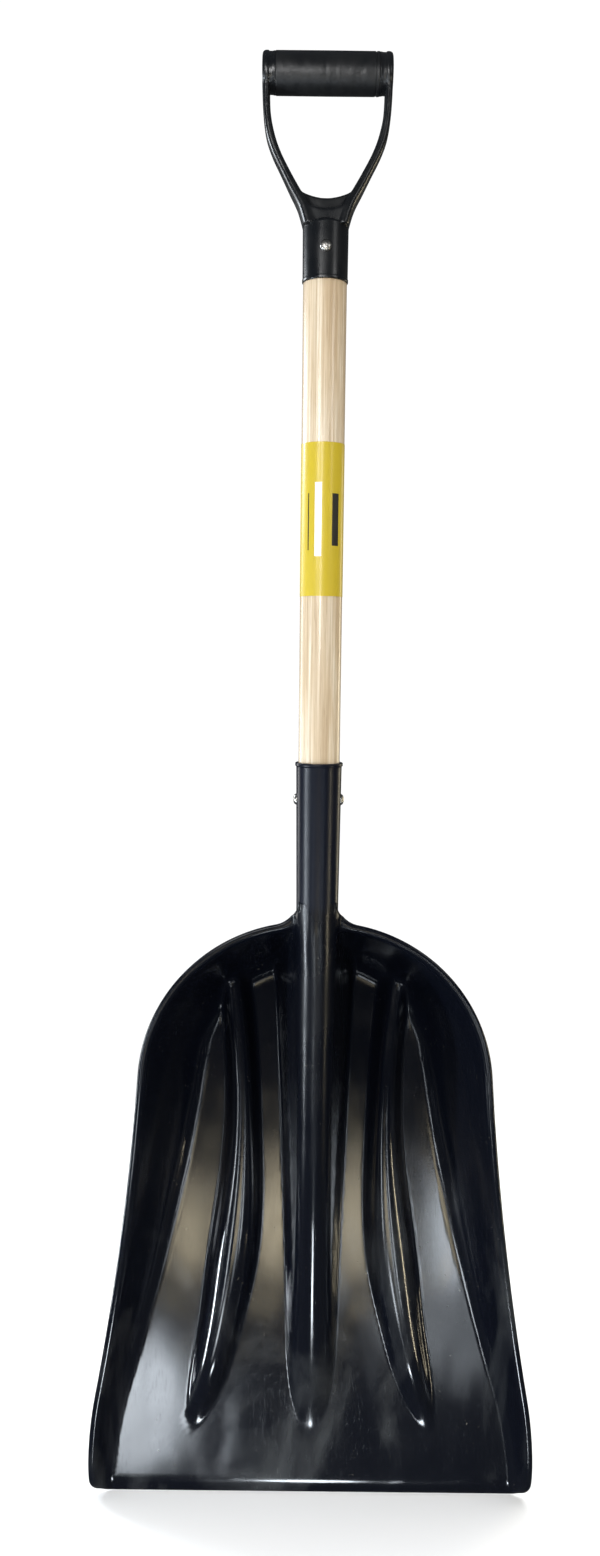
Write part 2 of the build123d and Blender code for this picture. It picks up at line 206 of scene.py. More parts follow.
def blade_plastic():
    """Glossy black plastic, duller towards the socket, with smears, milky patches on the lower pan that are
    partly smears and partly painted reflection, fine scratches and soft waves.
    """
    # Heights and distances from the middle, in metres, between which the looks change.
    fade_start, fade_end = -0.97, -0.84
    tube_outside, tube_inside = 0.036, 0.022
    reflection_start, reflection_end = -0.90, -1.04
    coat = 0.75
    # The milky tone is painted reflection on the lower pan, partly also smears on the plastic.
    black, milky_smear_and_reflection, dusty = (0.0022, 0.0028, 0.0052), (0.026, 0.028, 0.030), (0.16, 0.15, 0.12)
    made, shader = material("blade_plastic", Specular_IOR_Level=0.22, Coat_Roughness=0.11)
    place = node(made, "ShaderNodeTexCoord").outputs["Object"]
    axes = node(made, "ShaderNodeSeparateXYZ", [("Vector", place)]).outputs
    high = between(made, axes["Z"], fade_start, fade_end)
    aside = arithmetic(made, "ABSOLUTE", axes["X"])
    inside = between(made, aside, tube_outside, tube_inside)
    dull = arithmetic(made, "MULTIPLY", high, inside)
    into(made, arithmetic(made, "MULTIPLY_ADD", high, -coat, coat), shader, "Coat Weight")
    # This noise shapes the milky patches, which are painted reflection mixed with smears, and also varies
    # the roughness.
    smear_and_reflection_noise = noise(made, (13, 13, 7), detail=5, distortion=0.8)
    low = between(made, axes["Z"], reflection_start, reflection_end)
    smears_and_painted_reflection = arithmetic(made, "MULTIPLY", ramp(made, smear_and_reflection_noise, (0.50, 0.0), (0.72, 1.0)), low)
    specks = ramp(made, noise(made, (420, 420, 420), detail=2), (0.70, 0.0), (0.75, 1.0))
    patches = ramp(made, noise(made, (30, 30, 30)), (0.5, 0.0), (0.7, 1.0))
    dust = arithmetic(made, "MULTIPLY", arithmetic(made, "MULTIPLY", specks, patches), 0.8)
    into(made, mix(made, dust, mix(made, smears_and_painted_reflection, black, milky_smear_and_reflection), dusty), shader, "Base Color")
    scratches = ramp(made, noise(made, (700, 700, 9), detail=3), (0.6, 0.0), (0.7, 1.0))
    rough = ramp(made, smear_and_reflection_noise, (0.38, 0.10), (0.68, 0.25))
    scuffed = arithmetic(made, "MULTIPLY_ADD", scratches, 0.05, rough)
    into(made, arithmetic(made, "MULTIPLY_ADD", dull, 0.12, scuffed), shader, "Roughness")
    waves = bump(made, shader, noise(made, (22, 22, 12), detail=1), 0.0028)
    lines = bump(made, shader, scratches, 0.00003, waves)
    bump(made, shader, noise(made, (1500, 1500, 1500), detail=2), 0.00002, lines)
    return made


def socket_plastic():
    """The same plastic on the socket, cleaner and duller than the pan."""
    made, shader = material("socket_plastic", Specular_IOR_Level=0.2)
    patches = noise(made, (40, 40, 12))
    into(made, mix(made, patches, (0.0018, 0.0030, 0.0085), (0.0042, 0.0056, 0.0105)), shader, "Base Color")
    into(made, ramp(made, patches, (0.3, 0.24), (0.7, 0.34)), shader, "Roughness")
    grain = bump(made, shader, noise(made, (900, 900, 900), detail=2), 0.00004)
    bump(made, shader, noise(made, (300, 300, 6)), 0.00005, grain)
    return made


def handle_plastic():
    """Satin black plastic with a fine moulded grain and rubbed patches."""
    made, shader = material("handle_plastic", Specular_IOR_Level=0.5)
    rubbed = noise(made, (60, 60, 30))
    into(made, mix(made, rubbed, (0.0028, 0.0036, 0.0052), (0.0070, 0.0074, 0.0080)), shader, "Base Color")
    into(made, ramp(made, rubbed, (0.3, 0.22), (0.7, 0.36)), shader, "Roughness")
    grain = bump(made, shader, noise(made, (1400, 1400, 1400), detail=3), 0.00001)
    bump(made, shader, noise(made, (40, 40, 40), detail=1), 0.0002, grain)
    return made


def sleeve_plastic():
    """Matt black sleeve with a coarse spark texture, a little dusty."""
    made, shader = material("sleeve_plastic", Specular_IOR_Level=0.5)
    dusty = noise(made, (120, 70, 70), detail=5)
    into(made, mix(made, dusty, (0.0020, 0.0026, 0.0040), (0.0070, 0.0072, 0.0078)), shader, "Base Color")
    into(made, ramp(made, dusty, (0.3, 0.36), (0.7, 0.50)), shader, "Roughness")
    grain = bump(made, shader, noise(made, (2600, 2600, 2600), detail=3), 0.00006)
    bump(made, shader, noise(made, (130, 60, 60), detail=1), 0.0008, grain)
    return made


def ash_wood():
    """Varnished ash: pale cream with long fine grain lines, short dark pores and broad tone bands."""
    made, shader = material("ash_wood", Coat_Weight=0.6, Coat_Roughness=0.12, Specular_IOR_Level=0.4)
    broad = noise(made, (55, 55, 5), detail=3, distortion=0.4)
    fine = noise(made, (560, 560, 7), detail=5, roughness=0.65)
    pores = ramp(made, noise(made, (1300, 1300, 40), detail=2), (0.60, 0.0), (0.72, 1.0))
    open_pores = arithmetic(made, "MULTIPLY", pores, 0.5)
    tan_wood, straw, cream = (0.49, 0.37, 0.235), (0.59, 0.475, 0.33), (0.67, 0.575, 0.44)
    grain_line, pale_line, pore = (0.36, 0.255, 0.15), (0.84, 0.79, 0.68), (0.27, 0.185, 0.105)
    tone = ramp(made, broad, (0.38, tan_wood), (0.5, straw), (0.64, cream))
    lined = mix(made, ramp(made, fine, (0.36, 0.62), (0.56, 0.0)), tone, grain_line)
    pale = mix(made, ramp(made, fine, (0.56, 0.0), (0.68, 0.55)), lined, pale_line)
    into(made, mix(made, open_pores, pale, pore), shader, "Base Color")
    into(made, ramp(made, fine, (0.35, 0.44), (0.65, 0.34)), shader, "Roughness")
    bump(made, shader, arithmetic(made, "SUBTRACT", fine, open_pores), 0.00008)
    return made


def label_film(name, colour, darker):
    """Printed film under a clear gloss, with a little unevenness in the ink and the wood's ripples."""
    made, shader = material(name, Coat_Weight=0.25, Coat_Roughness=0.15, Specular_IOR_Level=0.4)
    ink = noise(made, (160, 160, 60), detail=5)
    into(made, mix(made, ink, colour, darker), shader, "Base Color")
    into(made, ramp(made, ink, (0.3, 0.34), (0.7, 0.46)), shader, "Roughness")
    bump(made, shader, noise(made, (500, 500, 20)), 0.00003)
    return made


def rivet_steel():
    """Zinc-plated steel, hammered round, with a dull bloom and darker pits."""
    made, shader = material("rivet_steel", Metallic=1.0)
    bloom = noise(made, (700, 700, 700), detail=4)
    into(made, mix(made, bloom, (0.62, 0.60, 0.56), (0.38, 0.37, 0.35)), shader, "Base Color")
    into(made, ramp(made, bloom, (0.3, 0.22), (0.7, 0.42)), shader, "Roughness")
    bump(made, shader, noise(made, (420, 420, 420), detail=2), 0.00012)
    return made


BLADE = blade_plastic()
SOCKET = socket_plastic()
HANDLE = handle_plastic()
SLEEVE = sleeve_plastic()
WOOD = ash_wood()
STEEL = rivet_steel()
LABEL = label_film("label_film", (0.52, 0.39, 0.022), (0.47, 0.35, 0.024))
LABEL_DARK = label_film("label_dark", (0.012, 0.011, 0.010), (0.03, 0.027, 0.02))
LABEL_LIGHT = label_film("label_light", (0.86, 0.84, 0.78), (0.78, 0.76, 0.70))


# ---- mesh helpers ---------------------------------------------------------------------------
SHARP_ANGLE = radians(42)


def piece(name, points, faces, made, replaced, slot, sharp=SHARP_ANGLE):
    """A smooth closed mesh from points in millimetres, which rides on the body and stands for a node."""
    mesh = bpy.data.meshes.new(name)
    mesh.from_pydata([tuple(p) for p in np.asarray(points, float) * MM], [], [tuple(f) for f in faces])
    shape = bmesh.new()
    shape.from_mesh(mesh)
    bmesh.ops.remove_doubles(shape, verts=shape.verts, dist=1e-7)
    bmesh.ops.recalc_face_normals(shape, faces=shape.faces)
    shape.to_mesh(mesh)
    shape.free()
    mesh.materials.append(made)
    mesh.polygons.foreach_set("use_smooth", [True] * len(mesh.polygons))
    mesh.set_sharp_from_angle(angle=sharp)
    obj = bpy.data.objects.new(name, mesh)
    bpy.context.scene.collection.objects.link(obj)
    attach(obj, "root")
    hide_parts(replaced)
    return obj


def rounded(corners, steps=6):
    """A polyline of (a, b, radius) corners with each corner rounded by an arc, within half of its sides."""
    side_share = 0.49
    path = []
    last = len(corners) - 1
    for index, (a, b, radius) in enumerate(corners):
        here = np.array([a, b], float)
        if radius <= 0 or index in (0, last):
            path.append(here)
            continue
        back = np.array(corners[index - 1][:2], float) - here
        on = np.array(corners[index + 1][:2], float) - here
        back_length, on_length = np.linalg.norm(back), np.linalg.norm(on)
        back, on = back / back_length, on / on_length
        half = np.arccos(np.clip(back @ on, -1, 1)) / 2
        reach = min(radius / tan(half), side_share * back_length, side_share * on_length)
        middle = here + (back + on) / np.linalg.norm(back + on) * reach / cos(half)
        first, final = here + back * reach - middle, here + on * reach - middle
        start = atan2(first[1], first[0])
        turn = (atan2(final[1], final[0]) - start + pi) % (2 * pi) - pi
        size = np.linalg.norm(first)
        for step in range(steps + 1):
            angle = start + turn * step / steps
            path.append(middle + size * np.array([cos(angle), sin(angle)]))
    return np.array(path)


def tube_faces(rows, around):
    """The faces between rows of points that each go once round."""
    faces = []
    for row in range(rows - 1):
        a, b = row * around, (row + 1) * around
        for step in range(around):
            ahead = (step + 1) % around
            faces.append((a + step, a + ahead, b + ahead, b + step))
    return faces


def revolved(path, segments, to_point):
    """Turns a (radius, along) path round an axis. to_point(radius, along, angle) gives a point."""
    points = []
    for radius, along in path:
        for turn in range(segments):
            points.append(to_point(radius, along, 2 * pi * turn / segments))
    return points, drop_flat(points, tube_faces(len(path), segments))


def drop_flat(points, faces):
    """Turns quads that meet an axis into triangles."""
    kept = []
    for face in faces:
        corners = []
        for index in face:
            if not any(np.allclose(points[index], points[other], atol=1e-6) for other in corners):
                corners.append(index)
        if len(corners) > 2:
            kept.append(tuple(corners))
    return kept


def round_z(radius, along, angle):
    """A point at a radius round the shaft's axis."""
    return radius * cos(angle), radius * sin(angle), along


def round_x(radius, along, angle):
    """A point at a radius round the grip's axis."""
    return along, radius * cos(angle), radius * sin(angle)


def round_y(radius, along, angle):
    """A point at a radius round the axis from front to back."""
    return radius * cos(angle), along, radius * sin(angle)


def smooth_max(a, b, reach):
    """The larger of two heights, with a fillet where they cross."""
    return np.maximum(a, b) + np.maximum(reach - np.abs(a - b), 0) ** 2 / (4 * reach)


def smooth_min(a, b, reach):
    """The smaller of two heights, with a fillet where they cross."""
    return -smooth_max(-a, -b, reach)


# ---- blade: its outline ---------------------------------------------------------------------
def tangent_circle(start, heading, end):
    """The centre of the circle that leaves start along the heading and passes through end."""
    normal = np.array([-heading[1], heading[0]])
    chord = end - start
    return start + normal * (chord @ chord) / (2 * (chord @ normal))


def arc(centre, start, end, steps):
    """Points round a centre from start to end, the short way."""
    first, final = start - centre, end - centre
    from_angle = atan2(first[1], first[0])
    turn = (atan2(final[1], final[0]) - from_angle + pi) % (2 * pi) - pi
    angles = from_angle + turn * np.linspace(0, 1, steps)
    return centre + np.linalg.norm(first) * np.stack([np.cos(angles), np.sin(angles)], 1)


def heading_at(centre, point):
    """The downward direction of a circle at a point of it."""
    out = (point - centre) / np.linalg.norm(point - centre)
    down = np.array([out[1], -out[0]])
    return down if down[1] < 0 else -down


ARCH_END = ARCH_CENTRE + ARCH_RADIUS * np.array([cos(ARCH_END_ANGLE), sin(ARCH_END_ANGLE)])
ARCH_END_HEADING = heading_at(ARCH_CENTRE, ARCH_END)
FLARE_CENTRE = tangent_circle(ARCH_END, ARCH_END_HEADING, FLARE_END)
FLARE_HEADING = heading_at(FLARE_CENTRE, FLARE_END)
FOOT_CENTRE = tangent_circle(FLARE_END, FLARE_HEADING, FOOT_END)
FOOT_HEADING = heading_at(FOOT_CENTRE, FOOT_END)


def half_outline():
    """The right half of the blade's edge, from the middle of the lip up to the middle of the neck."""
    corner = np.array([LIP_HALF_WIDTH - LIP_CORNER, LIP_Z + LIP_CORNER])
    corner_start = corner - np.array([0, LIP_CORNER])
    corner_end = corner + np.array([LIP_CORNER, 0])
    web_end = ARCH_CENTRE + (NECK_CENTRE - ARCH_CENTRE) * ARCH_RADIUS / (ARCH_RADIUS + NECK_FILLET)
    neck_side = np.array([NECK_SIDE, NECK_Z])
    stretches = [
        np.array([[0, LIP_Z], corner_start]),
        arc(corner, corner_start, corner_end, 40),
        arc(FOOT_CENTRE, FOOT_END, FLARE_END, 60),
        arc(FLARE_CENTRE, FLARE_END, ARCH_END, 160),
        arc(ARCH_CENTRE, ARCH_END, web_end, 160),
        arc(NECK_CENTRE, web_end, neck_side, 60),
        np.array([[0, NECK_Z]]),
    ]
    return np.concatenate(stretches)


# The mesh: rings that run in from the edge and crowd towards it, round a core of rows and columns.
ACROSS = 160
UP = 194
RINGS = 20
RING_CROWDING = 1.45
CORE_SHARE = 0.70
CORE_CENTRE = np.array([0.0, -975.0])
EDGE_RADIUS = SHELL / 2
EDGE_STEPS = 6


def outline_points():
    """The whole edge, evenly spaced, from the left end of the lip anticlockwise round the front."""
    half = half_outline()
    lengths = np.concatenate([[0], np.cumsum(np.hypot(*np.diff(half, axis=0).T))])
    evenly = np.linspace(0, lengths[-1], ACROSS + UP + 1)
    right = np.stack([np.interp(evenly, lengths, half[:, i]) for i in (0, 1)], 1)
    left = right[1:-1][::-1] * (-1, 1)
    return np.roll(np.concatenate([right, left]), ACROSS // 2, axis=0)


# ---- blade: the height of its front above the shaft's axis -----------------------------------
def before(points, place, heading):
    """True for points above the line across the outline at a place of it."""
    return (points - place) @ heading < 0


def wall_distance(points):
    """How far points lie in from the arch and the flared sides."""
    x, z = points[:, 0], points[:, 1]
    over_arch = ARCH_CENTRE[1] + ARCH_RADIUS - z
    arch = ARCH_RADIUS - np.hypot(x - ARCH_CENTRE[0], z - ARCH_CENTRE[1])
    arch = np.where(x < ARCH_CENTRE[0], over_arch, arch)
    flare = np.hypot(*(points - FLARE_CENTRE).T) - np.linalg.norm(FLARE_END - FLARE_CENTRE)
    foot = np.linalg.norm(FOOT_END - FOOT_CENTRE) - np.hypot(*(points - FOOT_CENTRE).T)
    low = np.where(before(points, FOOT_END, FOOT_HEADING), foot, LIP_HALF_WIDTH - x)
    low = np.where(before(points, FLARE_END, FLARE_HEADING), flare, low)
    return np.where(before(points, ARCH_END, ARCH_END_HEADING), arch, low)


def rim_distance(points, wall):
    """How far points lie in from the rim, which follows the neck's fillets up to the socket."""
    to_neck = NECK_CENTRE - ARCH_CENTRE
    away = points - ARCH_CENTRE
    beside_neck = to_neck[0] * away[:, 1] - to_neck[1] * away[:, 0] > 0
    return np.where(beside_neck, np.hypot(*(points - NECK_CENTRE).T) - NECK_FILLET, wall)


def ridge(offset, crest, radius, flank):
    """The height of a rib at an offset from its middle: a round top and straight flanks."""
    shoulder = radius * np.sin(flank)
    top = crest - radius + np.sqrt(np.maximum(radius**2 - offset**2, 0))
    side = crest - radius * (1 - np.cos(flank)) - (np.abs(offset) - shoulder) * np.tan(flank)
    return np.where(np.abs(offset) < shoulder, top, side)


# Heights along the ribs are counted up from the pan's start at the lip.
RIB_NOSE_LENGTH = 70.0
LEAST_RADIUS = 0.4

CENTRE_RIB_FILLET = 14.0
CENTRE_RIB_TIP = 46.0
CENTRE_CREST_SLOPE = 0.080
CENTRE_WAIST_RADIUS = 15.5
CENTRE_WAIST_HEIGHT = 330.0
CENTRE_FLARE = 7.4e-5
CENTRE_FLANK_ANGLE = radians(78)

SIDE_RIB_FILLET = 7.5
SIDE_RIB_TIP = 46.0
SIDE_RIB_NEAREST = 65.0
SIDE_RIB_NEAREST_HEIGHT = 315.0
SIDE_RIB_BOW = 5.75e-4
SIDE_RIB_HALF_WIDTH = 14.0
SIDE_RIB_BULGE = 7.0
SIDE_RIB_BULGE_HEIGHT = 205.0
SIDE_RIB_BULGE_LENGTH = 85.0
SIDE_RIB_RISE = 20.0
SIDE_RIB_RAMP = 45.0
SIDE_FLANK_ANGLE = radians(68)


def grown(height, tip):
    """How far a rib has grown from its tip, 0 to 1, as the quarter of an ellipse."""
    share = np.clip((height - tip) / RIB_NOSE_LENGTH, 0, 1)
    return np.sqrt(share * (2 - share))


def centre_rib(x, height, floor):
    """The socket's round top carries on down the middle and sinks into the pan."""
    growth = grown(height, CENTRE_RIB_TIP)
    socket_end = SOCKET_END_Z - PAN_START_Z
    below_socket = np.maximum(socket_end - height, 0)
    top = NECK_RADIUS - CENTRE_CREST_SLOPE * below_socket
    crest = floor + (top - floor) * growth - CENTRE_RIB_FILLET * (1 - growth)
    from_waist = np.minimum(height, socket_end) - CENTRE_WAIST_HEIGHT
    radius = (CENTRE_WAIST_RADIUS + CENTRE_FLARE * from_waist**2) * growth
    return ridge(x, crest, np.maximum(radius, LEAST_RADIUS), CENTRE_FLANK_ANGLE)


def side_rib_line(height):
    """A side rib's middle and half width: it bows in towards the centre and out again, with a bulge."""
    middle = SIDE_RIB_NEAREST + SIDE_RIB_BOW * (height - SIDE_RIB_NEAREST_HEIGHT) ** 2
    from_bulge = (height - SIDE_RIB_BULGE_HEIGHT) / SIDE_RIB_BULGE_LENGTH
    half_width = SIDE_RIB_HALF_WIDTH + SIDE_RIB_BULGE * np.exp(-(from_bulge**2))
    return middle, grown(height, SIDE_RIB_TIP) * half_width


def side_rib(x, height, floor):
    """A side rib's top and flanks, which rise out of the pan behind its rounded tip."""
    growth = grown(height, SIDE_RIB_TIP)
    middle, half_width = side_rib_line(height)
    ramp_share = 1 - np.exp(-np.maximum(height - SIDE_RIB_TIP, 0) / SIDE_RIB_RAMP)
    rise = SIDE_RIB_RISE * growth * ramp_share
    top_half_width = half_width - rise / tan(SIDE_FLANK_ANGLE)
    radius = np.maximum(top_half_width / tan(SIDE_FLANK_ANGLE / 2), LEAST_RADIUS)
    crest = floor + rise - SIDE_RIB_FILLET * (1 - growth)
    return ridge(x - middle, crest, radius, SIDE_FLANK_ANGLE)


# The rim's crown, its bend down to the lip, and the lip's nose.
RIM_CREST = 4.0
RIM_BAND = 6.0
RIM_ROUNDNESS = 0.06
RIM_FILLET = 2.5
RIM_BEND_Z = -1187.0
RIM_BEND_LIMIT = 0.98
LIP_NOSE = 13.0
LIP_DROP = 3.4
LIP_NOSE_POWER = 1.3
LIP_DEPTH = PAN_START_DEPTH + PAN_SLOPE * (LIP_Z - PAN_START_Z)
RIM_BEND_START = np.array([-RIM_FACE, RIM_BEND_Z])
RIM_BEND_CENTRE = tangent_circle(RIM_BEND_START, np.array([0.0, -1.0]), np.array([LIP_DEPTH, LIP_Z]))
RIM_BEND_RADIUS = RIM_BEND_CENTRE[0] + RIM_FACE

# The fillet between pan and wall grows from the lip up to a height.
PAN_FILLET = 12.0
PAN_FILLET_GROWTH = 22.0
PAN_FILLET_HEIGHT = 280.0


def rim_bend(z):
    """The height of the rim near the lip, where it bends back down to the pan's edge."""
    below = np.clip(RIM_BEND_Z - z, 0, RIM_BEND_LIMIT * RIM_BEND_RADIUS)
    return np.sqrt(RIM_BEND_RADIUS**2 - below**2) - RIM_BEND_CENTRE[0]


def front_height(points):
    """How far the blade's front stands in front of the shaft's axis."""
    points = np.abs(points * (1, -1)) * (1, -1)
    x, height = points[:, 0], points[:, 1] - PAN_START_Z
    pan = -PAN_START_DEPTH - PAN_SLOPE * height
    wall_in = wall_distance(points)
    wall = RIM_FACE - WALL_SLOPE * (wall_in - RIM_WIDTH)
    from_crest = np.minimum(np.abs(rim_distance(points, wall_in) - RIM_CREST), RIM_BAND)
    crown = rim_bend(points[:, 1]) - RIM_ROUNDNESS * from_crest**2
    pan_fillet = PAN_FILLET + PAN_FILLET_GROWTH * np.clip(height / PAN_FILLET_HEIGHT, 0, 1)
    level = smooth_max(pan, wall, pan_fillet)
    level = smooth_max(level, side_rib(x, height, pan), SIDE_RIB_FILLET)
    level = smooth_min(level, crown, RIM_FILLET)
    level = smooth_max(level, centre_rib(x, height, pan), CENTRE_RIB_FILLET)
    nose = np.maximum(LIP_NOSE - (points[:, 1] - LIP_Z), 0) / LIP_NOSE
    return level - LIP_DROP * nose**LIP_NOSE_POWER


def sheet(points, depth):
    """Points of the blade's front, or of its back when moved in by a depth."""
    step = 0.25
    level = front_height(points)
    along_x = (front_height(points + (step, 0)) - front_height(points - (step, 0))) / (2 * step)
    along_z = (front_height(points + (0, step)) - front_height(points - (0, step))) / (2 * step)
    normal = np.stack([-along_x, -np.ones(len(points)), -along_z], 1)
    normal /= np.linalg.norm(normal, axis=1)[:, None]
    surface = np.stack([points[:, 0], -level, points[:, 1]], 1)
    return surface - normal * depth


# Where the core's points gather: how strongly, from how far, how soon below the core's top and above
# its foot, at which offset of the centre rib and at which share of a side rib's half width.
FLANK_PULL = 0.55
FLANK_REACH = 9.0
FLANK_ONSET = 8.0
CENTRE_FLANK_X = 20.0
SIDE_FLANK_SHARE = 0.9


def gathered(points, up):
    """Draws points of the core sideways towards the ribs' flanks, where the surface is steepest."""
    x, height = np.abs(points[:, 0]), points[:, 1] - PAN_START_Z
    pull = FLANK_PULL * np.clip(FLANK_ONSET * np.minimum(up, 1 - up), 0, 1)
    middle, half_width = side_rib_line(height)
    aside = SIDE_FLANK_SHARE * half_width
    for flank in (CENTRE_FLANK_X, middle - aside, middle + aside):
        x = x - pull * (x - flank) * np.exp(-(((x - flank) / FLANK_REACH) ** 2))
    return np.stack([np.sign(points[:, 0]) * x, points[:, 1]], 1)


def core_points(border):
    """The core's inner points, spread between its four sides, and how far up each one lies, 0 to 1."""
    bottom, right = border[: ACROSS + 1], border[ACROSS : ACROSS + UP + 1]
    top = border[ACROSS + UP : 2 * ACROSS + UP + 1][::-1]
    left = np.concatenate([border[2 * ACROSS + UP :], border[:1]])[::-1]
    u = (np.arange(1, ACROSS) / ACROSS)[None, :, None]
    v = (np.arange(1, UP) / UP)[:, None, None]
    sides = (1 - v) * bottom[1:-1] + v * top[1:-1] + (1 - u) * left[1:-1, None] + u * right[1:-1, None]
    low = (1 - u) * bottom[0] + u * bottom[-1]
    high = (1 - u) * top[0] + u * top[-1]
    points = sides - (1 - v) * low - v * high
    return points.reshape(-1, 2), np.repeat(v, ACROSS - 1)


def core_numbers(count):
    """The core's points by row and column. Its border is the innermost ring, and its inner points follow."""
    innermost = RINGS * count
    grid = np.zeros((UP + 1, ACROSS + 1), int)
    grid[0] = innermost + np.arange(ACROSS + 1)
    grid[:, ACROSS] = innermost + ACROSS + np.arange(UP + 1)
    grid[UP] = innermost + 2 * ACROSS + UP - np.arange(ACROSS + 1)
    grid[1:, 0] = innermost + count - np.arange(1, UP + 1)
    inner = np.arange((UP - 1) * (ACROSS - 1)).reshape(UP - 1, ACROSS - 1)
    grid[1:-1, 1:-1] = innermost + count + inner
    return grid


def blade_layout():
    """One side of the blade laid flat: its points, its faces and the edge's outward directions."""
    edge = outline_points()
    count = len(edge)
    along = np.roll(edge, -1, axis=0) - np.roll(edge, 1, axis=0)
    outward = np.stack([along[:, 1], -along[:, 0]], 1) / np.linalg.norm(along, axis=1)[:, None]
    start = edge - outward * EDGE_RADIUS
    core = CORE_CENTRE + (edge - CORE_CENTRE) * CORE_SHARE
    shares = (np.arange(RINGS + 1) / RINGS) ** RING_CROWDING
    rings = [start + (core - start) * share for share in shares]
    faces = tube_faces(RINGS + 1, count)
    grid = core_numbers(count)
    for row in range(UP):
        for column in range(ACROSS):
            a, b = grid[row, column], grid[row, column + 1]
            faces.append((a, b, grid[row + 1, column + 1], grid[row + 1, column]))
    inner, up = core_points(core)
    return np.concatenate([*rings, gathered(inner, up)]), faces, outward


def blade_scoop():
    """The pan, walls, ribs and rim: a front sheet, a back sheet and a round edge between them."""
    flat, faces, outward = blade_layout()
    front, back = sheet(flat, 0), sheet(flat, SHELL)
    size, count = len(flat), len(outward)
    points = [front, back]
    all_faces = faces + [tuple(index + size for index in reversed(face)) for face in faces]
    middle, half = (front[:count] + back[:count]) / 2, (front[:count] - back[:count]) / 2
    out = np.stack([outward[:, 0], np.zeros(count), outward[:, 1]], 1)
    rows = [0]
    for step in range(1, EDGE_STEPS):
        angle = pi * step / EDGE_STEPS
        rows.append(2 * size + (step - 1) * count)
        points.append(middle + half * cos(angle) + out * EDGE_RADIUS * sin(angle))
    rows.append(size)
    for a, b in zip(rows, rows[1:]):
        for i in range(count):
            ahead = (i + 1) % count
            all_faces.append((a + ahead, a + i, b + i, b + ahead))
    return piece("blade_scoop", np.concatenate(points), all_faces, BLADE, "blade", "blade", sharp=pi)


def blade_socket():
    """The tapered tube that takes the shaft, with a ring round its mouth and a round closed end."""
    mouth = SOCKET_MOUTH
    path = rounded(
        [
            (0, SHAFT_END_Z, 0),
            (SHAFT_END_RADIUS + 0.05, SHAFT_END_Z, 0),
            (SHAFT_MOUTH_RADIUS + 0.08, mouth - 0.4, 0.4),
            (MOUTH_RING_RADIUS, mouth - 0.05, 0.9),
            (MOUTH_RING_RADIUS, mouth - MOUTH_RING_HEIGHT, 0.8),
            (SOCKET_RADIUS, mouth - MOUTH_RING_HEIGHT - 0.6, 0.8),
            (NECK_RADIUS + 0.02, NECK_Z + 2, 30),
            (NECK_RADIUS - 0.05, NECK_Z - 12, 30),
            (NECK_RADIUS - 0.9, SOCKET_END_Z, 6),
            (NECK_RADIUS - 4.5, SOCKET_END_Z - 7, 6),
            (0, SOCKET_END_Z - 9, 0),
        ]
    )
    points, faces = revolved(path, 96, round_z)
    return piece("blade_socket", points, faces, SOCKET, "blade", "blade")


# ---- shaft, label and rivets ----------------------------------------------------------------
def shaft_radius(z):
    """Radius of the shaft's slow taper between the ferrule and the socket's mouth."""
    share = (z - FERRULE_BOTTOM) / (SOCKET_MOUTH - FERRULE_BOTTOM)
    return SHAFT_TOP_RADIUS + (SHAFT_MOUTH_RADIUS - SHAFT_TOP_RADIUS) * share


def wooden_shaft():
    """The turned shaft with its tenon in the ferrule and its taper in the socket."""
    path = rounded(
        [
            (0, TENON_TOP, 0),
            (TENON_RADIUS - 0.05, TENON_TOP, 1.5),
            (TENON_RADIUS - 0.05, FERRULE_BOTTOM, 0),
            (SHAFT_TOP_RADIUS, FERRULE_BOTTOM, 0.8),
            (SHAFT_MOUTH_RADIUS, SOCKET_MOUTH, 20),
            (SHAFT_END_RADIUS, SHAFT_END_Z, 1),
            (0, SHAFT_END_Z, 0),
        ]
    )
    points, faces = revolved(path, 128, round_z)
    return piece("wooden_shaft", points, faces, WOOD, "shaft", "wood")


def band(low, high, from_angle, to_angle, inner, outer, steps=24, rows=2):
    """A curved strip on the shaft, between two heights, two angles and two distances from the wood."""
    points, faces = [], []
    for layer in (inner, outer):
        for row in range(rows + 1):
            z = low + (high - low) * row / rows
            for step in range(steps + 1):
                angle = from_angle + (to_angle - from_angle) * step / steps
                radius = shaft_radius(z) + layer
                points.append((radius * cos(angle), radius * sin(angle), z))
    across, layer_size = steps + 1, (rows + 1) * (steps + 1)
    for row in range(rows):
        for step in range(steps):
            a = row * across + step
            faces.append((a, a + across, a + across + 1, a + 1))
            b = a + layer_size
            faces.append((b, b + 1, b + across + 1, b + across))
    border = [row * across for row in range(rows, 0, -1)] + list(range(steps))
    border += [row * across + steps for row in range(rows)]
    border += [rows * across + step for step in range(steps, 0, -1)]
    for a, b in zip(border, border[1:] + border[:1]):
        faces.append((a, b, b + layer_size, a + layer_size))
    return points, faces


FRONT = -pi / 2
FILM_INSIDE = 0.02
FILM_OUTSIDE = 0.22
INK_OUTSIDE = FILM_OUTSIDE + 0.03
WRAP_OPENING = 0.02


def label():
    """A film round the shaft, whose ends nearly meet at the back, and plain printed bars."""
    low, high = label_low[2], label_high[2]
    start, end = FRONT - pi, FRONT + pi - WRAP_OPENING
    wrap = band(low, high, start, end, FILM_INSIDE, FILM_OUTSIDE, steps=128, rows=10)
    piece("label_wrap", *wrap, LABEL, "shaft_label", "label")
    # A bar's left and right are angles from the front, and its top and bottom are shares down the film.
    bars = [
        ("label_bar_dark", LABEL_DARK, 0.46, 0.82, 0.33, 0.67),
        ("label_bar_light", LABEL_LIGHT, -0.36, -0.04, 0.26, 0.74),
        ("label_line_dark", LABEL_DARK, -0.72, -0.66, 0.33, 0.70),
    ]
    for name, made, left, right, top, bottom in bars:
        z_low, z_high = low + (high - low) * (1 - bottom), low + (high - low) * (1 - top)
        strip = band(z_low, z_high, FRONT + left, FRONT + right, FILM_OUTSIDE, INK_OUTSIDE)
        piece(name, *strip, made, "shaft_label", "label")


